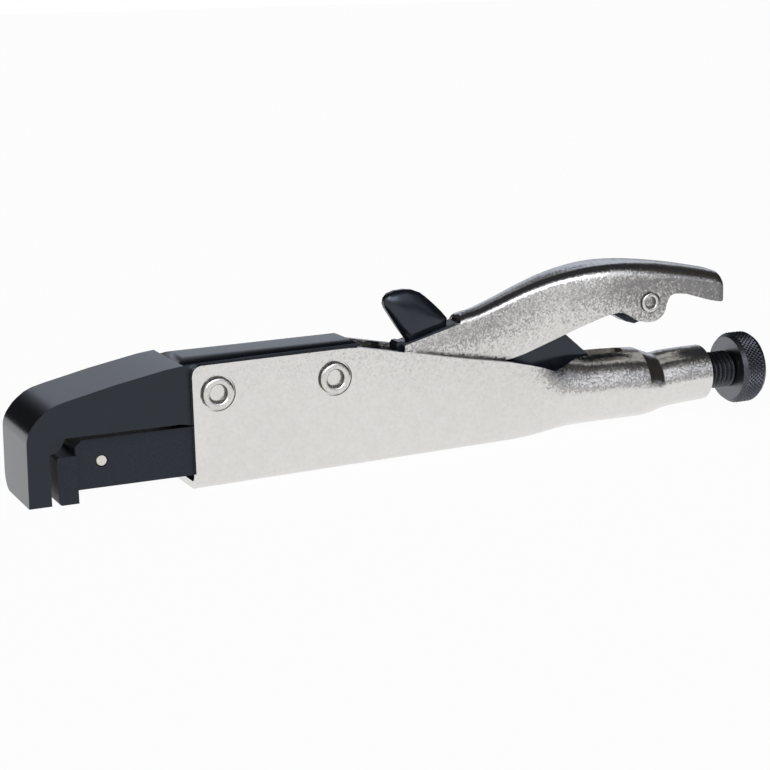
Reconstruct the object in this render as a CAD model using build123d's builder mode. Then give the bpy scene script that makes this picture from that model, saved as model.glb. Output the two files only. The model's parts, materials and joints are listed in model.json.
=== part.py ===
"""Locking pliers for sheet-metal bodywork, with an in-line clamping jaw.

X runs from the fixed jaw's gripping face back to the adjusting knob, Z points up to the lever,
and the part is the same on both sides of Y = 0, but for one rounded claw corner and the release
lever's spring and spacer. The origin is the middle of the fixed jaw's gripping face, on the
adjusting screw's axis. Sizes are millimetres.
"""

import os
from math import sqrt

from build123d import *

os.makedirs("parts", exist_ok=True)

# Linkage: the pivots of lever, toggle link and screw lie almost on the screw's axis when locked
jaw_gap = 2.9  # opening between the gripping faces as it stands
link_length = 38.0  # pivot to pivot, the same for the lever's two pivots and for the toggle link
over_centre = 1.0  # how far the middle pivot has gone past the line of the other two
front_pivot_x = 110.0
half_reach = sqrt(link_length**2 - over_centre**2)
link_pivot_x = front_pivot_x + half_reach
nose_pivot_x = front_pivot_x + 2 * half_reach

# Clearances
running_fit = 0.05  # radial, pins and shafts in their holes
slide_play = 0.3  # between flat faces that slide
side_play = 0.2  # each side of a piece that is guided by the channel's walls

# Channel: folded from one sheet, its rear rolled into a tube and a boss
sheet = 2.2
bend_radius = 4.0
channel_half = 11.5  # outside half width, also the rolled tube's outside radius
channel_front = 43.4
front_overlap = 2.0  # pieces that are joined reach this far into each other
channel_inside = channel_half - sheet
web_front_depth = 14.2  # the bottom web's outside, below the screw's axis at the front
wall_height = 22.6  # top edge of the walls at the front
front_corner = 3.0
wall_crest = 23.1
crest_x = 92.5
roll_start_x = link_pivot_x
roll_full_x = roll_start_x + 25.0  # from here the section is a full tube
wall_valley = (roll_start_x + 13.6, 0.72 * channel_half)  # lowest point of the walls' top edge
wall_knee = (roll_start_x + 2.0, 1.03 * channel_half)
tube_end_x = nose_pivot_x + 4.0
neck_start_x = nose_pivot_x + 10.0  # here the tube begins to narrow
neck_x = nose_pivot_x + 16.4  # the narrowest place, seen from above
neck_top = 0.69 * channel_half
neck_low = 0.89 * channel_half
crimp_drop = 2.1
boss_radius = 0.775 * channel_half
boss_end_x = nose_pivot_x + 34.8
bore_start_x = nose_pivot_x + 12.0
slot_half = 3.4  # half width of the slot left between the rolled edges
slot_end_x = nose_pivot_x + 4.8

# Screw
screw_radius = 6.0
knob_radius = channel_half + 0.2
knob_start_x = boss_end_x + 10.9
thread_chamfer = 1.0
knob_length = 8.5
knob_chamfer = 1.2
tip_radius = 2.5
tip_length = 3.0
button_radius = 5.9
button_length = 6.0

# Fixed jaw: a claw with a shank between the channel's walls
head_half = 14.0
claw_depth = 6.6
claw_bottom = 12.2
arm_under = 6.8  # underside of the arm over the moving jaw
head_rear_x = 40.7
head_top = 23.8
head_slope = 0.19  # the arm's top falls this much per millimetre towards the claw
claw_corner = 10.0
claw_side_corner = 5.5
head_edge = 0.9
shank_top = 24.5
shank_under = 4.9
shank_end_x = 96.0
shank_edge = 4.6

# Moving jaw
bar_top = shank_under - slide_play
bar_depth = web_front_depth - 4.4
bar_nose_x = 8.7
bar_nose_cut = 2.0
shoe_start_x = 47.0  # behind this the bar is deeper and runs on the channel's web
shoe_play = 0.4
fork_radius = 7.2
pad_half = 10.5
pad_top = 0.6
pad_depth = 13.3
pad_edge = 1.0
tongue_half = 4.0
tongue_end_x = 21.0
pad_pin_x = 16.2
pad_pin_z = -2.0
pad_pin_radius = 1.75

# Lever: a pressed channel, open below
lever_sheet = 2.0
lever_half = 5.0  # outside half width between the channel's walls
handle_half = 9.8  # outside half width of the flared tail
lever_edge = 3.0  # rounding along the top of the pressing
tail_round = 1.5
lobe_radius = 6.8
ear_radius = 6.4

# Release lever: a plate inside the lever, with a thumb fin in front
plate_half = 2.6
eye_radius = 7.1
fin_edge = 1.1

# Toggle link
link_half = 2.7
link_lobe_radius = 6.5
nose_radius = 3.5

# Pins and rivets
front_pin_radius = 3.0
link_pin_radius = 2.5
jaw_rivet_radius = 3.2
jaw_rivet_head = 4.9
jaw_rivet_hollow = 2.5
jaw_rivet_rise = 1.0
jaw_rivets = {"front_jaw_rivet": (51.0, 14.1), "rear_jaw_rivet": (87.5, 14.6)}
release_rivet_radius = 2.0
release_rivet_head = 3.2
release_rivet_hollow = 1.6
release_rivet_rise = 0.8
hollow_depth = 3.0
sleeve_wall = 1.4
spring_wire = 1.0
spring_radius = 3.2  # of the coil's centreline
spring_turns = 2.625
spring_pitch = 1.05
spring_leg = 6.5
spring_gap = 0.5  # from the plate, as the lower leg leans towards it


def web_z(x):
    """Height of the web's outside: it rises evenly until it meets the tube's underside."""
    share = (x - channel_front) / (tube_end_x - channel_front)
    return -web_front_depth + share * (web_front_depth - channel_half)


def section_at(x, half, low, high, r_low, r_high):
    """An upright closed section across X, with its own corner radius below and above."""
    with BuildSketch(Plane(origin=(x, 0, 0), x_dir=(0, 1, 0), z_dir=(1, 0, 0))) as section:
        with BuildLine():
            FilletPolyline(
                (-half, low),
                (half, low),
                (half, high),
                (-half, high),
                radius=(r_low, r_low, r_high, r_high),
                close=True,
            )
        make_face()
    return section.sketch


def inset(stations, wall):
    """The same stations, moved in by the wall's thickness."""
    return [
        (x, half - wall, low + wall, high - wall, max(r_low - wall, 0.3), max(r_high - wall, 0.3))
        for x, half, low, high, r_low, r_high in stations
    ]


def in_links(*points):
    """Points of a side view, given as shares of link_length from the front pivot, in millimetres."""
    return [(front_pivot_x + u * link_length, w * link_length) for u, w in points]


def export(part, name):
    part.label = name
    export_step(part, f"parts/{name}.step")


# Body channel
round_corner = channel_half - 0.05
tall = wall_crest + 3
shell_stations = [
    (channel_front, channel_half, web_z(channel_front), tall, bend_radius, bend_radius),
    (roll_start_x, channel_half, web_z(roll_start_x), tall, bend_radius, bend_radius),
    (roll_full_x, channel_half, -channel_half, channel_half, round_corner, round_corner),
    (tube_end_x, channel_half, -channel_half, channel_half, round_corner, round_corner),
]

with BuildPart() as body_channel:
    loft(sections=[section_at(*s) for s in shell_stations], ruled=True)
    # Behind the tube the sheet narrows to the boss
    with BuildSketch(Plane.XZ):
        with BuildLine():
            Polyline(
                (neck_x, neck_low),
                (neck_start_x, channel_half),
                (tube_end_x, channel_half),
                (tube_end_x, 0),
                (boss_end_x, 0),
                (boss_end_x, boss_radius),
            )
            Spline((neck_x, neck_low), (neck_x + 6, boss_radius + 0.5), (boss_end_x, boss_radius))
        make_face()
    revolve(axis=Axis.X)
    # The crimp presses the top in more than the sides, so its own axis lies lower
    with BuildSketch(Plane.XZ):
        with BuildLine():
            FilletPolyline(
                (tube_end_x - 2, channel_half + crimp_drop),
                (neck_x - 3.7, neck_top + 1.3 + crimp_drop),
                (neck_x, neck_top + crimp_drop),
                (neck_x + 4, neck_top + 0.8 + crimp_drop),
                (boss_end_x + 1, boss_radius + crimp_drop),
                (boss_end_x + 1, 2 * channel_half),
                (tube_end_x - 2, 2 * channel_half),
                radius=(0, 3, 1.5, 2, 0, 0, 0),
                close=True,
            )
        make_face()
    ring = revolve(axis=Axis.X, mode=Mode.PRIVATE)
    add(ring.moved(Location((0, 0, -crimp_drop))), mode=Mode.SUBTRACT)
    hollow = [section_at(*s) for s in inset(shell_stations, sheet)]
    loft(sections=hollow, ruled=True, mode=Mode.SUBTRACT)
    # The tube's inside narrows to the screw's bore
    with BuildSketch(Plane.XZ):
        with BuildLine():
            Polyline(
                (tube_end_x, 0),
                (tube_end_x, channel_inside),
                (bore_start_x, screw_radius + running_fit),
                (boss_end_x + 1, screw_radius + running_fit),
                (boss_end_x + 1, 0),
                close=True,
            )
        make_face()
    revolve(axis=Axis.X, mode=Mode.SUBTRACT)
    # Side view: the walls' sloping top edge and the rising edge of the roll
    with BuildSketch(Plane.XZ):
        with BuildLine():
            FilletPolyline(
                (channel_front - 1, wall_height),
                (crest_x, wall_crest),
                wall_knee,
                wall_valley,
                (roll_full_x, channel_half - 1.2),
                (roll_full_x + 8, channel_half + 1),
                (roll_full_x + 8, tall + 1),
                (channel_front - 1, tall + 1),
                radius=(0, 25, 30, 3, 5, 0, 0, 0),
                close=True,
            )
        make_face()
    extrude(amount=channel_half + 1, both=True, mode=Mode.SUBTRACT)
    front_edges = body_channel.edges().filter_by(Axis.Y).group_by(Axis.X)[0]
    fillet(front_edges.group_by(Axis.Z)[-1], radius=front_corner)
    # The slot between the rolled edges, narrowing from the open channel
    with BuildSketch(Plane.XY.offset(wall_valley[1] - 3)):
        with BuildLine():
            Line((wall_valley[0] - 4, -channel_half), (wall_valley[0] - 4, channel_half))
            Spline(
                (wall_valley[0] - 4, channel_half),
                (wall_valley[0] + 5, channel_half - 2.6),
                (roll_full_x - 1, slot_half + 2),
                (roll_full_x + 6, slot_half),
                tangents=((1, 0), (1, 0)),
            )
            Line((roll_full_x + 6, slot_half), (slot_end_x - slot_half, slot_half))
            ThreePointArc(
                (slot_end_x - slot_half, slot_half),
                (slot_end_x, 0),
                (slot_end_x - slot_half, -slot_half),
            )
            Line((slot_end_x - slot_half, -slot_half), (roll_full_x + 6, -slot_half))
            Spline(
                (roll_full_x + 6, -slot_half),
                (roll_full_x - 1, -slot_half - 2),
                (wall_valley[0] + 5, -channel_half + 2.6),
                (wall_valley[0] - 4, -channel_half),
                tangents=((-1, 0), (-1, 0)),
            )
        make_face()
    extrude(amount=20, mode=Mode.SUBTRACT)
    with BuildSketch(Plane.XZ):
        with Locations(*jaw_rivets.values()):
            Circle(jaw_rivet_radius + running_fit)
    extrude(amount=channel_half + 1, both=True, mode=Mode.SUBTRACT)
export(body_channel.part, "body_channel")

# Fixed jaw
nose_top = head_top - head_slope * (head_rear_x + claw_depth)
shank_half = channel_inside - side_play
with BuildPart() as fixed_jaw:
    with BuildSketch(Plane.XZ):
        with BuildLine():
            FilletPolyline(
                (-claw_depth, -claw_bottom),
                (0, -claw_bottom),
                (0, arm_under),
                (head_rear_x, arm_under),
                (head_rear_x, head_top),
                (-claw_depth, nose_top),
                radius=(1.5, 0.6, 1.5, 0.8, 1.5, claw_corner),
                close=True,
            )
        make_face()
    extrude(amount=head_half, both=True)
    side_edges = fixed_jaw.faces().filter_by(Axis.Y).edges()
    outer_edges = [e for e in side_edges if e.center().Z > arm_under + 0.5 or e.center().X < -1]
    fillet(outer_edges, radius=head_edge)
    # One lower corner of the claw is rounded off
    with BuildSketch(Plane.YZ.offset(-claw_depth)):
        with Locations((head_half - claw_side_corner / 2, claw_side_corner / 2 - claw_bottom)):
            Rectangle(claw_side_corner, claw_side_corner)
        with Locations((head_half - claw_side_corner, claw_side_corner - claw_bottom)):
            Circle(claw_side_corner, mode=Mode.SUBTRACT)
    extrude(amount=claw_depth, mode=Mode.SUBTRACT)
    with BuildSketch(Plane.YZ.offset(head_rear_x - front_overlap)):
        with BuildLine():
            FilletPolyline(
                (-shank_half, shank_under),
                (shank_half, shank_under),
                (shank_half, shank_top),
                (-shank_half, shank_top),
                radius=(0.8, 0.8, shank_edge, shank_edge),
                close=True,
            )
        make_face()
    extrude(amount=shank_end_x - head_rear_x + front_overlap)
    with BuildSketch(Plane.XZ):
        with Locations(*jaw_rivets.values()):
            Circle(jaw_rivet_radius + running_fit)
    extrude(amount=head_half + 1, both=True, mode=Mode.SUBTRACT)
export(fixed_jaw.part, "fixed_jaw")


def hollow_rivet(x, z, half_grip, shank, head, rise, hollow):
    """A rivet across Y with a domed head each side, each head with a blind hollow."""
    with BuildPart() as rivet:
        with BuildSketch(Plane(origin=(x, 0, z), x_dir=(1, 0, 0), z_dir=(0, 0, 1))):
            with BuildLine():
                Polyline(
                    (0, 0),
                    (shank, 0),
                    (shank, half_grip),
                    (head, half_grip),
                    (head, half_grip + rise * 0.35),
                )
                ThreePointArc(
                    (head, half_grip + rise * 0.35),
                    ((head + hollow) / 2 + 0.35, half_grip + rise * 0.92),
                    (hollow + 0.35, half_grip + rise),
                )
                Polyline(
                    (hollow + 0.35, half_grip + rise),
                    (hollow, half_grip + rise * 0.7),
                    (hollow, half_grip + rise - hollow_depth),
                    (0, half_grip + rise - hollow_depth),
                    (0, 0),
                )
            make_face()
        revolve(axis=Axis((x, 0, z), (0, 1, 0)))
        mirror(about=Plane.XZ)
    return rivet.part


for rivet_name, (rivet_x, rivet_z) in jaw_rivets.items():
    export(
        hollow_rivet(
            rivet_x,
            rivet_z,
            channel_half,
            jaw_rivet_radius,
            jaw_rivet_head,
            jaw_rivet_rise,
            jaw_rivet_hollow,
        ),
        rivet_name,
    )

# Slide bar
fork_slot_x = front_pivot_x - lobe_radius - 1.7
with BuildPart() as slide_bar:
    with BuildSketch(Plane.XZ):
        with BuildLine():
            FilletPolyline(
                (bar_nose_x, -bar_depth),
                (bar_nose_x, bar_top - bar_nose_cut),
                (bar_nose_x + bar_nose_cut, bar_top),
                (front_pivot_x, bar_top),
                (front_pivot_x, web_z(front_pivot_x) + sheet + shoe_play),
                (shoe_start_x, web_z(shoe_start_x) + sheet + shoe_play),
                (shoe_start_x, -bar_depth),
                radius=0,
                close=True,
            )
        make_face()
    extrude(amount=shank_half, both=True)
    # The shoe's long edges clear the bends of the channel
    shoe_edges = slide_bar.faces().filter_by(Axis.Y).edges().group_by(Axis.Z)[0]
    fillet(shoe_edges, radius=bend_radius - sheet + side_play)
    with BuildSketch(Plane.XZ):
        with Locations((front_pivot_x, 0)):
            Circle(fork_radius)
    extrude(amount=shank_half, both=True)
    with BuildSketch(Plane.XY.offset(-20)):
        with Locations((fork_slot_x + 15, 0)):
            Rectangle(30, 2 * (lever_half + side_play))
    extrude(amount=40, mode=Mode.SUBTRACT)
    with BuildSketch(Plane.XY.offset(-bar_depth - 1)):
        with Locations(((bar_nose_x + tongue_end_x) / 2, 0)):
            Rectangle(tongue_end_x - bar_nose_x + 2 * running_fit, 2 * (tongue_half + running_fit))
    extrude(amount=bar_depth + 1 + pad_top + running_fit, mode=Mode.SUBTRACT)
    with BuildSketch(Plane.XZ):
        with Locations((front_pivot_x, 0)):
            Circle(front_pin_radius + running_fit)
        with Locations((pad_pin_x, pad_pin_z)):
            Circle(pad_pin_radius + running_fit)
    extrude(amount=shank_half + 1, both=True, mode=Mode.SUBTRACT)
export(slide_bar.part, "slide_bar")

# Jaw pad, with a tongue in the bar's slot
with BuildPart() as jaw_pad:
    with BuildSketch(Plane.XZ):
        with BuildLine():
            FilletPolyline(
                (jaw_gap, -pad_depth),
                (jaw_gap, pad_top),
                (bar_nose_x, pad_top),
                (bar_nose_x, -pad_depth),
                radius=(pad_edge, pad_edge, 0, 0),
                close=True,
            )
        make_face()
    extrude(amount=pad_half, both=True)
    with BuildSketch(Plane.XZ):
        with Locations(((bar_nose_x + tongue_end_x) / 2, (pad_top - bar_depth) / 2)):
            Rectangle(tongue_end_x - bar_nose_x, pad_top + bar_depth)
    extrude(amount=tongue_half, both=True)
    with BuildSketch(Plane.XZ):
        with Locations((pad_pin_x, pad_pin_z)):
            Circle(pad_pin_radius + running_fit)
    extrude(amount=tongue_half + 1, both=True, mode=Mode.SUBTRACT)
export(jaw_pad.part, "jaw_pad")


def plain_pin(x, z, radius, half_length, edge):
    """A straight pin across Y with its ends chamfered."""
    with BuildPart() as pin:
        with BuildSketch(Plane.XZ):
            with Locations((x, z)):
                Circle(radius)
        extrude(amount=half_length, both=True)
        chamfer(pin.edges().filter_by(GeomType.CIRCLE), length=edge)
    return pin.part


export(plain_pin(pad_pin_x, pad_pin_z, pad_pin_radius, shank_half, 0.3), "pad_pin")
export(plain_pin(front_pivot_x, 0, front_pin_radius, shank_half, 0.5), "lever_pivot_pin")

# Lever: its side view and its flare in plan, hollowed by the same two views moved in by the sheet
ear_x, ear_z = in_links((2.276, 0.705))[0]
lever_top = in_links(
    (0.595, 0.737), (1.0, 0.845), (1.447, 0.984), (1.947, 1.047), (2.5, 1.005), (3.008, 0.884)
)
web_start_x, web_start_z = lever_top[0]  # in front of this the lever is open on top
lever_end_x, lever_end_z = lever_top[-1]
flare = ((-0.32, 0), (0.947, 0), (1.263, 0.19), (1.579, 0.6), (1.895, 0.96), (2.21, 1), (3.008, 1))
lever_flare = [
    (front_pivot_x + u * link_length, lever_half + grown * (handle_half - lever_half))
    for u, grown in flare
]
lever_front_x = lever_flare[0][0]


def plan_outline(points, reach):
    """The lever seen from above, straight in front, flared along a curve, straight at the tail."""
    ends = ((1, 0), (1, 0))
    with BuildSketch(Plane.XY.offset(-link_length / 2)) as outline:
        with BuildLine():
            right = Spline(*points[1:-1], tangents=ends)
            Line(points[0], points[1])
            Line(points[-2], (points[-1][0] + reach, points[-1][1]))
            mirror(right, about=Plane.XZ)
            Line((points[0][0], -points[0][1]), (points[1][0], -points[1][1]))
            Line((points[-2][0], -points[-2][1]), (points[-1][0] + reach, -points[-1][1]))
            Line(points[0], (points[0][0], -points[0][1]))
            Line((points[-1][0] + reach, points[-1][1]), (points[-1][0] + reach, -points[-1][1]))
        make_face()
    return outline.sketch


with BuildPart() as lever_inside:
    with BuildSketch(Plane.XZ.offset(-handle_half)):
        with BuildLine():
            Spline(*[(x, z - lever_sheet) for x, z in lever_top], tangents=((1, 0.25), (1, -0.24)))
            Polyline(
                (lever_end_x, lever_end_z - lever_sheet),
                (lever_end_x + lever_sheet, lever_end_z - 1.25 * lever_sheet),
                (lever_end_x + lever_sheet, -2 * handle_half),
                (lever_front_x, -2 * handle_half),
                (lever_front_x, 1.2 * link_length),
                (web_start_x, 1.2 * link_length),
                (web_start_x, web_start_z - lever_sheet),
            )
        make_face()
    extrude(amount=2 * handle_half)
    inner_flare = [(x, half - lever_sheet) for x, half in lever_flare]
    extrude(plan_outline(inner_flare, 2 * lever_sheet), amount=2 * link_length, mode=Mode.INTERSECT)

with BuildPart() as lever:
    with BuildSketch(Plane.XZ.offset(-handle_half)):
        with BuildLine():
            Spline(*lever_top, tangents=((1, 0.25), (1, -0.24)))
            Polyline(
                lever_top[0],
                (web_start_x, web_start_z - 1.4 * lever_sheet),
                *in_links((0.084, 0.537)),
                (front_pivot_x - lobe_radius, 0),
                (front_pivot_x, -lobe_radius),
                (link_pivot_x, -over_centre - lobe_radius),
                (link_pivot_x + lobe_radius, -over_centre),
                *in_links((0.989, 0.295), (1.011, 0.332)),
            )
            ear_front = (ear_x - 0.78 * ear_radius, ear_z - 0.625 * ear_radius)
            under = in_links((1.011, 0.332), (1.263, 0.405), (1.579, 0.526), (1.921, 0.632))
            Spline(*under, ear_front, tangents=((1, 0.28), (1, -0.6)))
            Polyline(ear_front, (ear_x, ear_z), (ear_x + ear_radius, ear_z))
            ear_rise = (ear_x + 1.17 * ear_radius, ear_z + 0.22 * ear_radius)
            tail_start = (ear_x + 1.64 * ear_radius, ear_z + 0.3 * ear_radius)
            ThreePointArc((ear_x + ear_radius, ear_z), ear_rise, tail_start)
            tail_under = in_links((2.763, 0.697), (3.008, 0.642))
            Spline(tail_start, *tail_under, tangents=((1, 0), (1, -0.1)))
            Line(tail_under[-1], lever_top[-1])
        make_face()
        with Locations((front_pivot_x, 0), (link_pivot_x, -over_centre)):
            Circle(lobe_radius)
        with Locations((ear_x, ear_z)):
            Circle(ear_radius)
    extrude(amount=2 * handle_half)
    extrude(plan_outline(lever_flare, 2 * lever_sheet), amount=2 * link_length, mode=Mode.INTERSECT)
    tail_corner = lever.edges().filter_by(Axis.Y).group_by(Axis.X)[-1].sort_by(Axis.Z)[-1]
    fillet(tail_corner, radius=tail_round)
    upper = [e for e in lever.edges() if e.center().Z > ear_z + 4 and e.length > lever_half]
    crown = [e for e in upper if abs(e.center().Y) > lever_half / 2]
    fillet(crown, radius=lever_edge)
    add(lever_inside.part, mode=Mode.SUBTRACT)
    with BuildSketch(Plane.XZ):
        with Locations((front_pivot_x, 0)):
            Circle(front_pin_radius + running_fit)
        with Locations((link_pivot_x, -over_centre)):
            Circle(link_pin_radius + running_fit)
        with Locations((ear_x, ear_z)):
            Circle(release_rivet_radius + running_fit)
    extrude(amount=handle_half + 1, both=True, mode=Mode.SUBTRACT)
export(lever.part, "lever")
export(plain_pin(link_pivot_x, -over_centre, link_pin_radius, lever_half, 0.4), "link_pin")
export(
    hollow_rivet(
        ear_x,
        ear_z,
        handle_half,
        release_rivet_radius,
        release_rivet_head,
        release_rivet_rise,
        release_rivet_hollow,
    ),
    "release_rivet",
)

# Toggle link
with BuildPart() as toggle_link:
    with BuildSketch(Plane.XZ):
        with BuildLine():
            FilletPolyline(
                (link_pivot_x - 0.9 * link_lobe_radius, -over_centre + 0.4 * link_lobe_radius),
                *in_links((1.25, 0.5), (1.547, 0.5), (1.789, 0.284)),
                (nose_pivot_x - 1.3 * nose_radius, nose_radius),
                (nose_pivot_x, nose_radius),
                (nose_pivot_x, -nose_radius),
                (link_pivot_x, -over_centre - link_lobe_radius),
                radius=(0, 3, 1.2, 2, 2, 0, 0, 0),
                close=True,
            )
        make_face()
        with Locations((link_pivot_x, -over_centre)):
            Circle(link_lobe_radius)
        with Locations((nose_pivot_x, 0)):
            Circle(nose_radius)
    extrude(amount=link_half, both=True)
    with BuildSketch(Plane.XZ):
        with Locations((link_pivot_x, -over_centre)):
            Circle(link_pin_radius + running_fit)
    extrude(amount=link_half + 1, both=True, mode=Mode.SUBTRACT)
export(toggle_link.part, "toggle_link")

# Thrust button: the link's nose rocks in its groove, the screw's tip turns in its back
button_front_x = nose_pivot_x + nose_radius * 0.6
with BuildPart() as thrust_button:
    with BuildSketch(Plane.YZ.offset(button_front_x)):
        Circle(button_radius)
    extrude(amount=button_length)
    with BuildSketch(Plane.XZ):
        with Locations((nose_pivot_x, 0)):
            Circle(nose_radius + running_fit)
    extrude(amount=button_radius + 1, both=True, mode=Mode.SUBTRACT)
    with BuildSketch(Plane.YZ.offset(button_front_x + button_length - tip_length)):
        Circle(tip_radius + running_fit)
    extrude(amount=tip_length, mode=Mode.SUBTRACT)
export(thrust_button.part, "thrust_button")

# Adjusting screw, turned in one with its knob
screw_start_x = button_front_x + button_length + running_fit
with BuildPart() as adjusting_screw:
    with BuildSketch(Plane.XZ):
        with BuildLine():
            Polyline(
                (screw_start_x - tip_length + running_fit, 0),
                (screw_start_x - tip_length + running_fit, tip_radius),
                (screw_start_x, tip_radius),
                (screw_start_x, screw_radius - thread_chamfer),
                (screw_start_x + thread_chamfer, screw_radius),
                (knob_start_x, screw_radius),
                (knob_start_x, knob_radius - knob_chamfer),
                (knob_start_x + knob_chamfer, knob_radius),
                (knob_start_x + knob_length - knob_chamfer, knob_radius),
                (knob_start_x + knob_length, knob_radius - knob_chamfer),
                (knob_start_x + knob_length, 0),
                close=True,
            )
        make_face()
    revolve(axis=Axis.X)
export(adjusting_screw.part, "adjusting_screw")

# Release lever
with BuildPart() as release_lever:
    with BuildSketch(Plane.XZ):
        with BuildLine():
            FilletPolyline(
                *in_links((0.042, 0.482), (0.042, 0.576), (0.137, 0.587)),
                *in_links((-0.058, 0.884), (0.005, 0.976), (0.258, 0.974)),
                *in_links((0.563, 0.668), (1.053, 0.737)),
                (ear_x - 2 * eye_radius, ear_z + 0.73 * eye_radius),
                (ear_x, ear_z + eye_radius),
                (ear_x, ear_z),
                (ear_x - 0.9 * eye_radius, ear_z - 0.4 * eye_radius),
                *in_links((1.474, 0.584), (0.116, 0.471)),
                radius=(1.2, 1.2, 1.5, 2.2, 3.0, 5.0, 3.0, 20.0, 10.0, 0, 0, 0, 10.0, 2.0),
                close=True,
            )
        make_face()
        with Locations((ear_x, ear_z)):
            Circle(eye_radius)
    extrude(amount=plate_half, both=True)
    outline = release_lever.faces().filter_by(Axis.Y).edges()
    fin = [e for e in outline if e.center().X < web_start_x and e.center().Z > web_start_z - 3]
    fillet(fin, radius=fin_edge)
    with BuildSketch(Plane.XZ):
        with Locations((ear_x, ear_z)):
            Circle(release_rivet_radius + running_fit)
    extrude(amount=plate_half + 1, both=True, mode=Mode.SUBTRACT)
export(release_lever.part, "release_lever")

# Spacer sleeve on the release rivet, on the far side of the plate
sleeve_start = plate_half + running_fit
sleeve_end = handle_half - lever_sheet - running_fit
with BuildPart() as release_spacer:
    with BuildSketch(Plane(origin=(ear_x, sleeve_start, ear_z), x_dir=(1, 0, 0), z_dir=(0, 1, 0))):
        Circle(release_rivet_radius + running_fit + sleeve_wall)
        Circle(release_rivet_radius + running_fit, mode=Mode.SUBTRACT)
    extrude(amount=sleeve_end - sleeve_start)
export(release_spacer.part, "release_spacer")

# Release spring: a wire torsion spring round the same rivet, on the near side of the plate
with BuildPart() as release_spring:
    with BuildLine() as wire:
        coil = Helix(pitch=spring_pitch, height=spring_turns * spring_pitch, radius=spring_radius)
        Line(coil @ 0 - (coil % 0) * spring_leg, coil @ 0)
        Line(coil @ 1, coil @ 1 + (coil % 1) * spring_leg)
    with BuildSketch(Plane(origin=wire.line @ 0, z_dir=wire.line % 0)):
        Circle(spring_wire / 2)
    sweep(path=wire.line, is_frenet=True)
spring_place = Plane(
    origin=(ear_x, -plate_half - spring_gap - spring_wire / 2, ear_z),
    x_dir=(-1, 0, -1),
    z_dir=(0, -1, 0),
)
export(release_spring.part.moved(spring_place.location), "release_spring")
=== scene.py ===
# %% [markdown]
# # Dressing a pair of body locking pliers
# The frame of this scene is a CAD model: every solid is already at its real size, in metres, and
# it moves with a named body. Here the solids get the skin that the real tool has: grainy nickel
# on the pressed steel, gloss black on the forged jaws, a knurled knob and a cut thread. We load
# the frame first and measure it, because nothing that we add may make the tool larger.

# %% Load the frame
import json
import math

import bpy
from mathutils import Matrix, Vector

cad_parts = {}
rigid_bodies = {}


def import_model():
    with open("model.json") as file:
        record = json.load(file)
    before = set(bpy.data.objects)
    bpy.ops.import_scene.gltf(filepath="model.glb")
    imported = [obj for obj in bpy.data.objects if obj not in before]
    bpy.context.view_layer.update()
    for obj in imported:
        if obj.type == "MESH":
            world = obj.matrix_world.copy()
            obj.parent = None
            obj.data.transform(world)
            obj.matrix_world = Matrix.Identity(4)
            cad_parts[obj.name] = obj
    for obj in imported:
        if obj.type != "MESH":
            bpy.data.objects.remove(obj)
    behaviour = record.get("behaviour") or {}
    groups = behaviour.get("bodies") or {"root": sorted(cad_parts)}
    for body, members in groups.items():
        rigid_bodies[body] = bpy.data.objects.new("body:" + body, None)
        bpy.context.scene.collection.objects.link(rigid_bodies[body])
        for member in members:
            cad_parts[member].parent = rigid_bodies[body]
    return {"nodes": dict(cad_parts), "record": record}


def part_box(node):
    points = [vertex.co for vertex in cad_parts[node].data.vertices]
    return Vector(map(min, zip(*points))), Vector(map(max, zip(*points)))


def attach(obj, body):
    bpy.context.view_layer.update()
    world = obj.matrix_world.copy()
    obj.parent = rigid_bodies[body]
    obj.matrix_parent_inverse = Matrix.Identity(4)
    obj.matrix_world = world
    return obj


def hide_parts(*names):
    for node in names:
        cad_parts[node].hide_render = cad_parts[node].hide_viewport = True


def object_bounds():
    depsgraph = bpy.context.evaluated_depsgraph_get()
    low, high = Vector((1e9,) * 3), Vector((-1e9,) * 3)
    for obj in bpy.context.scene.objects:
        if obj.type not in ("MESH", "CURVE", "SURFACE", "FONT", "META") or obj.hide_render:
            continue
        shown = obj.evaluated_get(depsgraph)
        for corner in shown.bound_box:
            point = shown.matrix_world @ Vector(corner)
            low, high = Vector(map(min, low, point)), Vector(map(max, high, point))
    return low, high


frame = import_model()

cad_box = [list(corner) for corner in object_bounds()]
record = frame["record"]
nodes = frame["nodes"]
print("size in mm:", [round((high - low) * 1000, 1) for low, high in zip(*cad_box)])

# %% [markdown]
# ## Two habits for working with operators
# An operator from bpy.ops works on whatever is selected, and loading the frame leaves all of it
# selected. So before each new piece we select nothing. The second habit is to write lengths in
# millimetres, as they stand on a workshop drawing, and to turn them into metres in one place.

# %% Selection and units
MM = 0.001


def select_only(*objects):
    """Leaves these objects selected, the first one active, and nothing else."""
    for thing in bpy.context.view_layer.objects:
        thing.select_set(False)
    for thing in objects:
        thing.select_set(True)
    bpy.context.view_layer.objects.active = objects[0] if objects else None


def mm(*values):
    """Millimetres to metres, one number or a point."""
    return values[0] * MM if len(values) == 1 else Vector(values) * MM


select_only()
print("selected objects:", len(bpy.context.selected_objects))

# %% [markdown]
# ## Shader sums written as Python
# A material is a net of nodes, and sums in it take many small Math nodes. A small class that
# stands for one socket lets us write `0.3 + grain * 0.1`, and adds the Math nodes itself. The
# class Finish below holds one material: its `node` method makes any other node, sets its
# settings first and then plugs values or sockets into it.

# %% The socket class and the finish class


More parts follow.
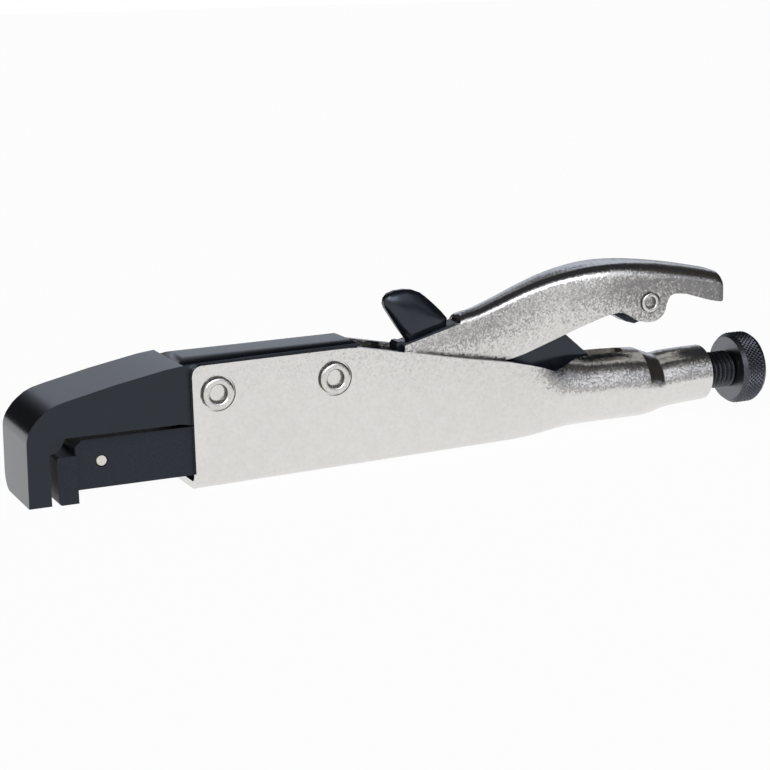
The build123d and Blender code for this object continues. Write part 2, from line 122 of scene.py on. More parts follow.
class Socket:
    """One output of a node. Arithmetic on it adds Math nodes to the same material."""

    def __init__(self, tree, output):
        self.tree = tree
        self.output = output

    def sum(self, operation, first, second):
        maths = self.tree.nodes.new("ShaderNodeMath")
        maths.operation = operation
        for place, value in enumerate((first, second)):
            if isinstance(value, Socket):
                self.tree.links.new(value.output, maths.inputs[place])
            else:
                maths.inputs[place].default_value = value
        return Socket(self.tree, maths.outputs[0])

    def __add__(self, other):
        return self.sum("ADD", self, other)

    def __radd__(self, other):
        return self.sum("ADD", other, self)

    def __sub__(self, other):
        return self.sum("SUBTRACT", self, other)

    def __rsub__(self, other):
        return self.sum("SUBTRACT", other, self)

    def __mul__(self, other):
        return self.sum("MULTIPLY", self, other)

    def __rmul__(self, other):
        return self.sum("MULTIPLY", other, self)

    def __pow__(self, other):
        return self.sum("POWER", self, other)


class NodeNet:
    """The nodes of one material or of the world, made by one method."""

    def __init__(self, owner):
        owner.use_nodes = True
        self.tree = owner.node_tree

    def node(self, kind, settings=None, sockets=None, out=0):
        made = self.tree.nodes.new(kind)
        for key, value in (settings or {}).items():
            if key == "stops":
                self.fill_ramp(made.color_ramp.elements, value)
            else:
                setattr(made, key, value)
        for key, value in (sockets or {}).items():
            if isinstance(value, Socket):
                self.tree.links.new(value.output, made.inputs[key])
            else:
                made.inputs[key].default_value = value
        return Socket(self.tree, made.outputs[out])

    def fill_ramp(self, elements, stops):
        while len(elements) < len(stops):
            elements.new(0.5)
        for element, (position, colour) in zip(elements, stops):
            element.position = position
            element.color = (*colour, 1)

    def ramp(self, factor, *stops):
        return self.node("ShaderNodeValToRGB", {"stops": stops}, {"Fac": factor}, out="Color")

    def blend(self, factor, first, second):
        """A colour between two others: sockets 6 and 7 of a Mix node are its colours, output 2 the mix."""
        first, second = (colour if isinstance(colour, Socket) else (*colour, 1) for colour in (first, second))
        sockets = {"Factor": factor, 6: first, 7: second}
        return self.node("ShaderNodeMix", {"data_type": "RGBA"}, sockets, out=2)

    def rise(self, value, start, end):
        """0 below start and 1 above end, with a soft step between."""
        settings = {"interpolation_type": "SMOOTHSTEP"}
        return self.node("ShaderNodeMapRange", settings, {"Value": value, "From Min": start, "From Max": end})


class Finish(NodeNet):
    """One material in the making, with its Principled shader at hand."""

    def __init__(self, name, **constants):
        self.material = bpy.data.materials.new(name)
        super().__init__(self.material)
        self.shader = self.tree.nodes["Principled BSDF"]
        self.place = self.node("ShaderNodeTexCoord", out="Object")
        for socket, value in constants.items():
            self.shader.inputs[socket.replace("_", " ")].default_value = value

    def noise(self, size, detail=2.0, roughness=0.5):
        """Noise from 0 to 1 whose blotches are about `size` millimetres across."""
        sockets = {"Vector": self.place, "Scale": 1 / mm(size), "Detail": detail, "Roughness": roughness}
        return self.node("ShaderNodeTexNoise", sockets=sockets, out="Fac")

    def bump(self, height, depth, strength=1.0):
        """Dents and bumps whose height is `depth` millimetres."""
        sockets = {"Strength": strength, "Distance": mm(depth), "Height": height}
        return self.node("ShaderNodeBump", sockets=sockets, out="Normal")

    def facets(self, size, lean, normal):
        """Tilts the normal another way in each grain of about `size` millimetres."""
        cells = {"Vector": self.place, "Scale": 1 / mm(size)}
        grain = self.node("ShaderNodeTexVoronoi", sockets=cells, out="Color")
        shares = {0: grain, 1: (2 * lean,) * 3, 2: (-lean,) * 3}
        tilt = self.node("ShaderNodeVectorMath", {"operation": "MULTIPLY_ADD"}, shares)
        tilted = self.node("ShaderNodeVectorMath", {"operation": "ADD"}, {0: normal, 1: tilt})
        return self.node("ShaderNodeVectorMath", {"operation": "NORMALIZE"}, {0: tilted})

    def wear(self, **sockets):
        """Plugs sockets into the shader and gives the material back."""
        for name, socket in sockets.items():
            self.tree.links.new(socket.output, self.shader.inputs[name.replace("_", " ")])
        return self.material


print("helpers:", Socket.__name__, Finish.__name__)

# %% [markdown]
# ## Nickel over blasted sheet steel
# The channel and the lever are pressed from sheet, blasted so that the plating holds, and then
# nickel plated. The metal is bright but never a mirror: each tiny grain of the blasted skin leans
# another way and mirrors another place in the room. On a flat side all of them mirror the same
# pale floor and the metal looks even, and where the sheet curves past a dark place it sparkles
# like salt and pepper. So the grain is made as small facets of the normal, not as paint.

# %% Nickel for the pressed pieces


def nickel_over_sheet():
    finish = Finish("grainy_nickel", Metallic=1.0)
    dents = finish.noise(1.1, detail=2.0, roughness=0.6)
    drift = finish.noise(3.2)
    clouds = finish.noise(30.0)
    tone = dents * 0.5 + drift * 0.3 + clouds * 0.2
    colour = finish.ramp(tone, (0.36, (0.70, 0.688, 0.668)), (0.62, (0.755, 0.743, 0.724)))
    grain = finish.facets(0.45, 0.055, finish.bump(dents, 0.03, strength=0.5))
    return finish.wear(Base_Color=colour, Roughness=0.14 + drift * 0.08, Normal=grain)


def nickel_on_rivets():
    finish = Finish("turned_nickel", Metallic=1.0)
    dents = finish.noise(0.5)
    drift = finish.noise(1.8)
    colour = finish.ramp(dents * 0.6 + drift * 0.4, (0.35, (0.62, 0.605, 0.58)), (0.65, (0.74, 0.725, 0.70)))
    grain = finish.facets(0.4, 0.05, finish.bump(dents, 0.02, strength=0.5))
    return finish.wear(Base_Color=colour, Roughness=0.14 + drift * 0.08, Normal=grain)


# Painted shade: a dark brownish steel that stands in for the shade in the rivets' hollows and gaps and in the
# body's slot.
def steel_with_painted_shade():
    finish = Finish("painted_shade_steel", Metallic=1.0)
    marks = finish.noise(0.4)
    colour = finish.ramp(marks, (0.3, (0.11, 0.10, 0.085)), (0.7, (0.24, 0.22, 0.19)))
    return finish.wear(Base_Color=colour, Roughness=0.35 + marks * 0.2)


painted_shade_steel = steel_with_painted_shade()
grainy_nickel = nickel_over_sheet()
turned_nickel = nickel_on_rivets()
print("nickel:", grainy_nickel.name, turned_nickel.name)

# %% [markdown]
# ## Gloss black on forged steel
# The jaws are forged, trued by grinding and then dipped black. The coat is thin and glossy: it
# shows the room as soft shapes, a little wavy because the forging beneath is not quite flat. A
# broad, shallow bump gives that wave, and a fine one the skin of the dip. The sliding bar and its
# pad rub in use, so their black is duller. The screw is blacked and oiled; its faced ends get a
# paler black than its knurl, a painted sheen for the light they mirror, so one function makes both.

# %% Black finishes


def black_on_forging():
    finish = Finish("gloss_black_forging", Specular_IOR_Level=0.5, Specular_Tint=(0.80, 0.89, 1.0, 1))
    skin = finish.noise(0.7, detail=3.0)
    waves = finish.noise(5.0, detail=1.0)
    colour = finish.ramp(waves * 0.5 + skin * 0.5, (0.3, (0.003, 0.004, 0.007)), (0.7, (0.006, 0.008, 0.013)))
    relief = finish.bump(skin * 0.3 + waves * 0.7, 0.012, strength=0.4)
    return finish.wear(Base_Color=colour, Roughness=0.15 + skin * 0.08, Normal=relief)


def black_on_bar():
    finish = Finish("dull_black_bar", Specular_IOR_Level=0.36, Specular_Tint=(0.86, 0.92, 1.0, 1))
    skin = finish.noise(0.6, detail=3.0)
    colour = finish.ramp(skin, (0.3, (0.008, 0.010, 0.015)), (0.7, (0.016, 0.019, 0.027)))
    relief = finish.bump(skin, 0.015, strength=0.5)
    return finish.wear(Base_Color=colour, Roughness=0.42 + skin * 0.12, Normal=relief)


def black_on_plate():
    finish = Finish("satin_black_plate", Specular_IOR_Level=0.6, Specular_Tint=(0.80, 0.89, 1.0, 1))
    skin = finish.noise(0.5, detail=3.0)
    drift = finish.noise(6.0)
    colour = finish.ramp(drift * 0.6 + skin * 0.4, (0.3, (0.006, 0.007, 0.011)), (0.7, (0.012, 0.014, 0.020)))
    relief = finish.bump(skin, 0.01, strength=0.4)
    return finish.wear(Base_Color=colour, Roughness=0.15 + skin * 0.08, Normal=relief)


def black_on_screw(name, deep, pale, least_rough):
    finish = Finish(name, Metallic=1.0)
    skin = finish.noise(0.4)
    colour = finish.ramp(skin, (0.3, deep), (0.7, pale))
    relief = finish.bump(skin, 0.008, strength=0.5)
    return finish.wear(Base_Color=colour, Roughness=least_rough + skin * 0.14, Normal=relief)


def ground_steel():
    finish = Finish("ground_steel", Metallic=1.0)
    marks = finish.noise(0.3, detail=2.0)
    colour = finish.ramp(marks, (0.3, (0.60, 0.57, 0.52)), (0.7, (0.80, 0.77, 0.71)))
    relief = finish.bump(marks, 0.01, strength=0.5)
    return finish.wear(Base_Color=colour, Roughness=0.24 + marks * 0.12, Normal=relief)


gloss_black_forging = black_on_forging()
dull_black_bar = black_on_bar()
satin_black_plate = black_on_plate()
oiled_black_screw = black_on_screw("oiled_black_screw", (0.05, 0.052, 0.062), (0.11, 0.114, 0.128), 0.32)
# Painted sheen: a paler copy of the screw's black for the knob's faced ends.
screw_face_painted_sheen = black_on_screw("screw_face_painted_sheen", (0.15, 0.152, 0.165), (0.23, 0.233, 0.25), 0.24)
bright_pin = ground_steel()
print("black:", gloss_black_forging.name, dull_black_bar.name, satin_black_plate.name, oiled_black_screw.name)

# %% [markdown]
# ## A finish for every solid
# The record says which slot each solid belongs to, so one table from slot to material dresses
# them all, and no solid is forgotten. Only the sliding pieces get their duller black by name.

# %% Dress the solids
finish_of_slot = {
    "nickel": grainy_nickel,
    "black_steel": gloss_black_forging,
    "black_plate": satin_black_plate,
    "black_screw": oiled_black_screw,
    "rivet": turned_nickel,
    "pin": bright_pin,
}
for row in record["subparts"]:
    solid = nodes[row["node"]]
    solid.data.materials.clear()
    solid.data.materials.append(finish_of_slot[row["material_slot"]])
for sliding in ("slide_bar", "jaw_pad"):
    nodes[sliding].data.materials[0] = dull_black_bar
print("dressed", len(record["subparts"]), "solids")

# %% [markdown]
# ## Drawing by extrusion
# Sheet metal is easiest to model from its cross sections. A line is drawn the way one does it by
# hand: start with one vertex, extrude it to the next point, and go on. A plane whose corners are
# merged gives that first vertex. Further helpers select parts of a mesh by a test, such as where
# they lie, which replaces the mouse, and add the modifiers that several pieces share: a sheet's
# gauge, rounded edges, an outline turned as on a lathe, and Boolean.

# %% Lines, selections and modifiers


def add_line(points):
    """In edit mode: a new line of edges through points in millimetres."""
    bpy.ops.mesh.select_all(action="DESELECT")
    bpy.ops.mesh.primitive_plane_add(size=mm(1), location=mm(*points[0]))
    bpy.ops.mesh.merge(type="CENTER")
    for here, there in zip(points, points[1:]):
        step = mm(*there) - mm(*here)
        bpy.ops.mesh.extrude_vertices_move(TRANSFORM_OT_translate={"value": step})


def trace(name, *lines):
    """A mesh that holds the given lines, its origin at the world's origin."""
    select_only()
    bpy.ops.mesh.primitive_plane_add(size=mm(1), location=(0, 0, 0))
    drawn = bpy.context.object
    drawn.name = drawn.data.name = name
    bpy.ops.object.mode_set(mode="EDIT")
    bpy.ops.mesh.select_mode(type="VERT")
    bpy.ops.mesh.select_all(action="SELECT")
    bpy.ops.mesh.delete(type="VERT")
    for points in lines:
        add_line(points)
    bpy.ops.object.mode_set(mode="OBJECT")
    return drawn


def pick(piece, kind, test):
    """Selects only the vertices, edges or polygons for which test is true, and counts them."""
    select_only(piece)
    bpy.ops.object.mode_set(mode="EDIT")
    bpy.ops.mesh.select_mode(type={"vertices": "VERT", "edges": "EDGE", "polygons": "FACE"}[kind])
    bpy.ops.mesh.select_all(action="DESELECT")
    bpy.ops.object.mode_set(mode="OBJECT")
    found = 0
    for element in getattr(piece.data, kind):
        element.select = bool(test(element))
        found += element.select
    bpy.ops.object.mode_set(mode="EDIT")
    return found


def middle(piece, edge):
    """The point half way along an edge, in metres."""
    a, b = (piece.data.vertices[i].co for i in edge.vertices)
    return (a + b) / 2


def face_outwards(piece, test=None):
    """Merges doubles and points all faces one way, outwards on a closed shell or where test says."""
    pick(piece, "vertices", lambda v: True)
    bpy.ops.mesh.remove_doubles(threshold=mm(0.004))
    bpy.ops.mesh.select_all(action="SELECT")
    bpy.ops.mesh.normals_make_consistent(inside=False)
    bpy.ops.object.mode_set(mode="OBJECT")
    if test and not test(piece):
        bpy.ops.object.mode_set(mode="EDIT")
        bpy.ops.mesh.select_all(action="SELECT")
        bpy.ops.mesh.flip_normals()
        bpy.ops.object.mode_set(mode="OBJECT")


def add_modifier(piece, kind, **settings):
    """Adds one modifier and sets it up."""
    made = piece.modifiers.new(kind.lower(), kind)
    for name, value in settings.items():
        setattr(made, name, value)
    return made


def apply_modifiers(piece):
    """Applies all modifiers of a piece in their order, and leaves it selected."""
    select_only(piece)
    for modifier in list(piece.modifiers):
        bpy.ops.object.modifier_apply(modifier=modifier.name)


def give_gauge(sheet, gauge):
    """Gives a skin its thickness, inwards."""
    add_modifier(sheet, "SOLIDIFY", thickness=mm(gauge), offset=-1, use_even_offset=True)
    apply_modifiers(sheet)


def round_edges(piece, width, segments, bend_from):
    """Rounds the edges where the surface bends by more than an angle in degrees."""
    limit = math.radians(bend_from)
    add_modifier(piece, "BEVEL", width=mm(width), segments=segments, limit_method="ANGLE", angle_limit=limit)
    apply_modifiers(piece)


def turn_round(piece, axis, steps, weld, **climb):
    """Turns a traced outline round an axis through the origin, and welds the seam."""
    add_modifier(
        piece, "SCREW", axis=axis, angle=2 * math.pi, steps=steps, render_steps=steps,
        use_merge_vertices=True, merge_threshold=mm(weld), **climb,
    )
    apply_modifiers(piece)


def combine(operation, piece, *tools):
    """Adds closed pieces to another or cuts them away, and deletes them afterwards."""
    for tool in tools:
        add_modifier(piece, "BOOLEAN", operation=operation, object=tool, solver="EXACT")
        apply_modifiers(piece)
        select_only(tool)
        bpy.ops.object.delete()


def wear_finish(piece, material, slot, body, *replaced, crease=30, keep_flats=False):
    """Dresses a finished piece, smooths its flat joints and tells the frame where it belongs."""
    piece.data.materials.clear()
    piece.data.materials.append(material)
    select_only(piece)
    bpy.ops.object.shade_smooth_by_angle(angle=math.radians(crease))
    if keep_flats:
        add_modifier(piece, "WEIGHTED_NORMAL", keep_sharp=True, weight=100)
        apply_modifiers(piece)
    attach(piece, body)
    if replaced:
        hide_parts(*replaced)
    print(piece.name, "faces:", len(piece.data.polygons))


# %% [markdown]
# ## The body: one sheet that turns from a channel into a tube
# In front the body is a deep channel, and at the rear the same sheet is rolled into a tube with
# an open slot on top, pinched to a neck and drawn down to a boss. A box or a cylinder can't do
# that change, but cross sections can. Each section has the same number of points, so a channel
# point and a tube point can be mixed, and the mix moves from one to the other along the tool.
# The sections are then bridged in pairs, and the Solidify modifier gives the sheet its gauge.

# %% Sizes of the body
half_width, body_gauge = 11.5, 2.2
body_front, channel_end, tube_start = 43.4, 148.0, 176.0
web_depth, tube_depth, bend = 14.2, 11.62, 4.0
# x and height of the wall's edge
wall_top = [
    (43.4, 19.6), (43.75, 20.98), (44.3, 21.75), (45.1, 22.3), (46.4, 22.6), (62, 22.75), (78, 22.9),
    (89, 23.0), (92.5, 23.0), (96, 22.75), (103, 21.3), (110.3, 19.8), (120.6, 17.7), (130.9, 15.6),
    (140, 14.0), (148, 12.5), (152.5, 11.4), (157, 10.1), (161.6, 8.0), (165, 8.3), (168.5, 9.1),
    (172, 10.4), (175, 10.9),
]
# x and how far the walls have turned into the tube, from 0 to 1
upper_roll = [
    (152.5, 0), (157, 0.04), (161.6, 0.13), (165, 0.28), (168.5, 0.52), (172, 0.78), (175, 0.95), (176, 1),
]
# x, half width, top and bottom of the tube, and how far its open edges have closed, in degrees
tube = [
    (176, 11.5, 11.5, -tube_depth, 68.5), (178.5, 11.5, 11.5, -11.6, 70), (182, 11.5, 11.45, -11.6, 70),
    (186, 11.5, 11.35, -11.6, 70), (188.2, 11.5, 11.2, -11.6, 70.3), (189.8, 11.5, 11.1, -11.6, 71.5),
    (190.7, 11.5, 11.0, -11.6, 77), (191.3, 11.5, 10.95, -11.6, 90), (193, 11.5, 10.8, -11.6, 90),
    (195.9, 11.5, 10.6, -11.6, 90), (196.3, 11.4, 10.45, -11.6, 90), (198.0, 10.75, 9.7, -11.5, 90),
    (200.2, 10.0, 8.8, -11.2, 90), (202.2, 9.3, 8.1, -10.75, 90), (202.7, 9.22, 8.06, -10.6, 90),
    (204.3, 9.18, 8.3, -10.1, 90), (207, 9.12, 8.65, -9.75, 90), (211, 9.05, 8.8, -9.45, 90),
    (216, 8.97, 8.9, -9.15, 90), (220.8, 8.9, 8.9, -8.95, 90),
]


def between(table, x, column=1):
    """Reads a table by its first column, on the straight line between two rows."""
    for low, high in zip(table, table[1:]):
        if x <= high[0]:
            share = max(0.0, (x - low[0]) / (high[0] - low[0]))
            return low[column] + share * (high[column] - low[column])
    return table[-1][column]


print("wall at its crest:", between(wall_top, 92.5), "mm above the screw's axis")

# %% Cross sections
lower_corner, lower_rise, upper_steps = 6, 4, 10
flat_steps = 3


def body_bottom(x):
    """Height of the web's underside, which rises towards the tube."""
    return -web_depth + (x - body_front) / (tube_start - body_front) * (web_depth - tube_depth)


def channel_side(x):
    """Near half of the channel at x, from the middle of the web up to the wall's edge."""
    low, edge = body_bottom(x), between(wall_top, x)
    flat = half_width - bend
    points = [(-flat * i / flat_steps, low) for i in range(flat_steps)]
    for i in range(lower_corner + 1):
        angle = math.pi / 2 * i / lower_corner
        points.append((-flat - bend * math.sin(angle), low + bend - bend * math.cos(angle)))
    points += [(-half_width, (low + bend) * (1 - i / lower_rise)) for i in range(1, lower_rise + 1)]
    points += [(-half_width, edge * i / upper_steps) for i in range(1, upper_steps + 1)]
    return points


def tube_side(x):
    """Near half of the tube at x: the same number of points, on an oval."""
    x = max(x, tube_start)
    wide, top, bottom, closed = (between(tube, x, column) for column in (1, 2, 3, 4))
    middle, high = (top + bottom) / 2, (top - bottom) / 2
    turns = [24 * i / flat_steps for i in range(flat_steps)]
    turns += [24 + 48 * i / lower_corner for i in range(lower_corner + 1)]
    turns += [72 + 18 * i / lower_rise for i in range(1, lower_rise + 1)]
    turns += [90 + closed * i / upper_steps for i in range(1, upper_steps + 1)]
    angles = [math.radians(turn) for turn in turns]
    return [(-wide * math.sin(a), middle - high * math.cos(a)) for a in angles]


def body_section(x):
    """The whole line at x, from the near wall's edge round the web to the far one's."""
    rolled = min(1.0, max(0.0, (x - channel_end) / (tube_start - channel_end)))
    lower_share = rolled * rolled * (3 - 2 * rolled)
    side = []
    for i, (flat, round_) in enumerate(zip(channel_side(x), tube_side(x))):
        upper = i >= flat_steps + lower_corner + lower_rise
        share = between(upper_roll, x) if upper else lower_share
        side.append([a + share * (b - a) for a, b in zip(flat, round_)])
    near = [(x, y, z) for y, z in reversed(side)]
    return near + [(x, -y, z) for y, z in side[1:]]


stations = [x for x, _ in wall_top[:-1]] + [174.2] + [row[0] for row in tube]
sections = [body_section(x) for x in stations]
print("sections:", len(sections), "with", len(sections[0]), "points each")

# %% Bridge the sections and give the sheet its gauge


def bridge_all(piece, lines, per_line):
    """Bridges each line of points with the next one."""
    for i in range(lines - 1):
        first, last = i * per_line, (i + 2) * per_line
        pick(piece, "edges", lambda e: all(first <= v < last for v in e.vertices))
        bpy.ops.mesh.bridge_edge_loops()
    bpy.ops.object.mode_set(mode="OBJECT")


def near_side_faces_us(piece):
    return sum(face.normal.y * face.center.y for face in piece.data.polygons) > 0


body = trace("body_sheet", *sections)
bridge_all(body, len(sections), len(sections[0]))
face_outwards(body, near_side_faces_us)
print("body skin:", len(body.data.vertices), "points", len(body.data.polygons), "faces")

give_gauge(body, body_gauge)


def centre_of(node):
    """The middle of a solid's box at rest, in metres."""
    return [(low + high) / 2 for low, high in zip(*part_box(node))]


def seat_tools(node, half, radius, depth):
    """Two short cylinders that cut the round seats of a rivet's heads."""
    x, _, z = centre_of(node)
    made = []
    for sign in (-1, 1):
        select_only()
        bpy.ops.mesh.primitive_cylinder_add(
            vertices=48, radius=mm(radius), depth=mm(2 * depth), rotation=(math.pi / 2, 0, 0),
            location=(x, sign * mm(half), z),
        )
        made.append(bpy.context.object)
    return made


for rivet_node in ("front_jaw_rivet", "rear_jaw_rivet"):
    combine("DIFFERENCE", body, *seat_tools(rivet_node, half_width, radius=5.4, depth=0.7))
round_edges(body, 0.25, segments=2, bend_from=50)
wear_finish(body, grainy_nickel, "nickel", "frame", "body_channel", keep_flats=True)
# Painted shade: a second, dark finish for the sheet's cut edges inside the slot.
body.data.materials.append(painted_shade_steel)
slot_start, slot_end, slot_reach, slot_floor = 165, 192, 4.4, 7


def is_cut_edge(face):
    """True on the sheet's cut edges along the slot, which get the dark finish of painted shade."""
    x, y, z = face.center / MM
    near_slot = slot_start < x < slot_end and abs(y) < slot_reach and z > slot_floor
    return near_slot and (abs(face.normal.y) > 0.6 or face.normal.x < -0.4)


cut_edges = [face for face in body.data.polygons if is_cut_edge(face)]
for face in cut_edges:
    face.material_index = 1
print("faces on the slot's edges:", len(cut_edges))

# %% [markdown]
# ## The lever: an arch that grows
# The lever is pressed from one sheet as well: narrow and open on top in front, where it dips into
# the channel, then an arch that grows wider and rounder towards the tail, so that it fills the
# hand. The same two steps make it, a table of sections and a bridge from each to the next. Where
# the front is open, we delete the crown. The two ears that reach down to the pivots are flat
# plates, joined on with Boolean.

# %% Tables for the lever
lever_gauge, crown_start, tail_half = 2.0, 132.6, 9.8
# each table: x, and the height, half width, radius or angle there
crown_top = [
    (132.6, 26.4), (133.1, 27.3), (133.9, 27.9), (135.2, 28.15), (136.9, 28.4), (140, 29.2), (147.6, 31.9),
    (155.7, 34.9), (163.9, 37.3), (172.1, 38.8), (178, 39.5), (184, 39.78), (189, 39.7), (193.9, 39.4),
    (201, 38.6), (208.7, 37.4), (214, 36.4), (218.9, 35.3), (222, 34.6), (223.4, 34.1), (224.0, 33.7),
    (224.3, 33.0),
]
open_top = [(113.0, 16.5), (113.3, 18.6), (113.7, 20.4), (121.4, 22.4), (132.6, 25.3)]
lever_bottom = [
    (113.0, 10.5), (130, 10.5), (144, 11.4), (146.9, 12.1), (154.2, 14), (160, 16.1), (166.8, 18.8),
    (173.4, 21.3), (179.9, 23.5), (182.4, 24.1), (185, 24.45), (187.1, 24.2), (189.5, 22.9), (192.6, 21.1),
    (195.3, 20.4), (197.8, 20.4), (200, 21.1), (201.6, 22.6), (202.2, 24.0), (202.6, 25.6), (203.2, 27.1),
    (204, 28.1), (205.2, 28.6), (206.6, 28.6), (210, 28.2), (215.1, 26.5), (220.1, 25), (223.2, 24.5),
    (224.0, 24.8), (224.3, 25.4),
]
lever_half = [
    (113, 5), (146, 5), (152, 5.4), (158, 5.95), (164, 6.9), (170, 7.9), (176, 8.8), (182, 9.6),
    (188, tail_half), (222.8, tail_half), (223.8, 9.5), (224.3, 8.9),
]
crown_round = [
    (132.6, 1.6), (134, 2.7), (150, 2.8), (170, 3.1), (184, 3.8), (192, 4.6), (200, 5.6), (208, 6.0),
    (224.3, 6.0),
]
# where the crown's bend ends on the flank, in degrees: towards the tail a crease stays there
crown_crease = [(132.6, 0), (184, 0), (194, 14), (204, 24), (224.3, 26)]
# how far the wall leans inwards at its top, which gives the bright band under the crown
wall_lean = [(113, 0.55), (132.6, 0.6), (176, 0.6), (190, 0.25), (200, 0), (224.3, 0)]
side_steps, round_steps, roof_steps = 8, 8, 2
roof_camber, least_flat = 0.2, 0.5


def lever_section(x, roofed):
    """The line at x, from the near side's lower edge over the crown to the far side's."""
    half, low, lean = between(lever_half, x), between(lever_bottom, x), between(wall_lean, x)
    if roofed:
        high, corner = between(crown_top, x), min(between(crown_round, x), half - least_flat)
    else:
        high, corner = between(open_top, x) + least_flat, least_flat
    camber = roof_camber if roofed else 0.0
    crease = math.radians(between(crown_crease, x)) if roofed else 0.0
    centre = (lean - half + corner * math.cos(crease), high - camber - corner)
    wall = max(low + least_flat, centre[1] + corner * math.sin(crease))
    steps = [i / side_steps for i in range(side_steps)]
    near = [(x, lean * share**3 - half, low + (wall - low) * share) for share in steps]
    for i in range(round_steps + 1):
        angle = crease + (math.pi / 2 - crease) * i / round_steps
        z = centre[1] + corner * math.sin(angle)
        near.append((x, centre[0] - corner * math.cos(angle), max(z, wall)))
    shares = [1 - i / roof_steps for i in range(1, roof_steps)]
    near += [(x, centre[0] * share, high - camber * share) for share in shares]
    return near + [(x, 0, high)] + [(x, -y, z) for x, y, z in reversed(near)]


open_stations = [113.0, 113.3, 113.7, 117, 121.4, 127, crown_start - 0.05]
roofed_stations = [
    crown_start + 0.05, 133.1, 133.9, 135.2, 137, 140, 143.5, 146.9, 150.5, 154.2, 158, 162, 166.8, 170,
    173.4, 177, 179.9, 182.4, 185, 187.1, 189.5, 192.6, 195.3, 197.8, 200, 200.9, 201.6, 202.2, 202.6, 203.2,
    204, 205.2, 206.6, 210, 213, 216, 219, 221.5, 222.8, 223.5, 224.0, 224.3,
]
arches = [lever_section(x, False) for x in open_stations] + [lever_section(x, True) for x in roofed_stations]
print("arches:", len(arches), "with", len(arches[0]), "points each")

# %% Bridge the arches and open the front
lever = trace("lever_sheet", *arches)
bridge_all(lever, len(arches), len(arches[0]))
face_outwards(lever, near_side_faces_us)


def is_roof_in_front(face):
    in_front = face.center.x < mm(crown_start + 0.04)
    return in_front and face.center.z > mm(between(open_top, face.center.x / MM) + 0.02)


print("roof faces cut away:", pick(lever, "polygons", is_roof_in_front))
bpy.ops.mesh.delete(type="FACE")
bpy.ops.object.mode_set(mode="OBJECT")
give_gauge(lever, lever_gauge)

# %% Two ears for the pivots
bar_pivot, link_pivot, lobe = (110.0, 0.0), (147.99, -1.0), 6.8
ear_inside, ear_outside = 3.05, 4.95


def plate_from(name, outline, near, far):
    """A closed outline in the XZ plane, filled and thickened from one y to another."""
    plate = trace(name, [(x, near, z) for x, z in outline])
    bpy.ops.object.mode_set(mode="EDIT")
    bpy.ops.mesh.select_all(action="SELECT")
    bpy.ops.mesh.edge_face_add()
    bpy.ops.mesh.extrude_region_move(TRANSFORM_OT_translate={"value": mm(0, far - near, 0)})
    face_outwards(plate)
    return plate


def arc(centre, radius, start, end, steps):
    """Points on a circle in the XZ plane; angles in degrees from +X towards +Z."""
    turns = [math.radians(start + (end - start) * i / steps) for i in range(steps + 1)]
    return [(centre[0] + radius * math.cos(a), centre[1] + radius * math.sin(a)) for a in turns]


ear_outline = arc(bar_pivot, lobe, 145, 270, 14) + [(129, -5.2)] + arc(link_pivot, lobe, 265, 390, 14)
ear_outline += [(147.3, 12.4), (145.8, 13.0), (130.0, 13.0), (114.4, 13.0)]


ears = [plate_from("ear", ear_outline, sign * ear_inside, sign * ear_outside) for sign in (-1, 1)]
combine("UNION", lever, *ears)
combine("DIFFERENCE", lever, *seat_tools("release_rivet", tail_half, radius=3.6, depth=0.5))
round_edges(lever, 0.25, segments=2, bend_from=50)
wear_finish(lever, grainy_nickel, "nickel", "handle", "lever", keep_flats=True)

# %% [markdown]
# ## The fixed jaw: a hook and a shank from one forging
# Seen from the side the hook is one outline, so we draw that outline and give it the width of the
# jaw. The corner inside the hook is filled out, because a forging cracks at a sharp inner corner.
# Then the edges are eased: one large bevel on the corner that the far side has rounded off, large
# ones along the shank, and a fine one everywhere else.

# %% Hook and shank
jaw_half, shank_half, gusset_half = 14.0, 9.1, 11.0
claw_tip = -12.18
# from the arm's rear over its top, round the bend, down the claw and back along the inside
hook_outline = [
    (40.7, 6.8), (40.7, 23.2), (40.2, 23.68), (35, 23.1), (20.2, 20.4), (10.6, 18.3), (6.4, 17.4), (2.9, 16.5),
    (0.6, 15.5), (-1.5, 14), (-2.9, 12.8), (-4, 11.5), (-5.0, 10.1), (-5.6, 8.9), (-6.05, 7.5), (-6.2, 6.1),
    (-6.58, claw_tip), (0, claw_tip), (0, 4.1), (0.3, 5.2), (1.0, 6.1), (1.9, 6.6), (3.0, 6.8),
]
gusset_outline = [
    (-1.0, 1.5), (0.3, 1.5), (2.2, 2.1), (3.9, 3.3), (5.0, 4.9), (5.4, 6.4), (5.4, 7.6), (-1.0, 7.6),
]
shank_outline = [
    (38.0, 6.0), (44.0, 4.9), (95.2, 4.9), (96.0, 5.8), (96.0, 23.6), (95.2, 24.45), (43.0, 24.45),
    (38.0, 22.6),
]


def ease_edges(piece, width, segments, test):
    """Bevels the edges whose middle, in millimetres, passes the test."""
    found = pick(piece, "edges", lambda e: test(middle(piece, e) / MM))
    bpy.ops.mesh.bevel(offset=mm(width), offset_type="OFFSET", segments=segments, affect="EDGES")
    bpy.ops.object.mode_set(mode="OBJECT")
    return found


hook = plate_from("fixed_jaw_forged", hook_outline, -jaw_half, jaw_half)
eased = ease_edges(hook, 5.5, 8, lambda p: p.y > jaw_half - 0.1 and p.z < claw_tip + 0.08)
shank = plate_from("shank", shank_outline, -shank_half, shank_half)
eased += ease_edges(shank, 4.8, 6, lambda p: p.z > 24.4 and abs(p.y) > 9)
gusset = plate_from("gusset", gusset_outline, -gusset_half, gusset_half)
combine("UNION", hook, shank, gusset)
print("edges eased before the fine bevel:", eased)
round_edges(hook, 0.6, segments=3, bend_from=40)
wear_finish(hook, gloss_black_forging, "black_steel", "frame", "fixed_jaw", crease=35, keep_flats=True)
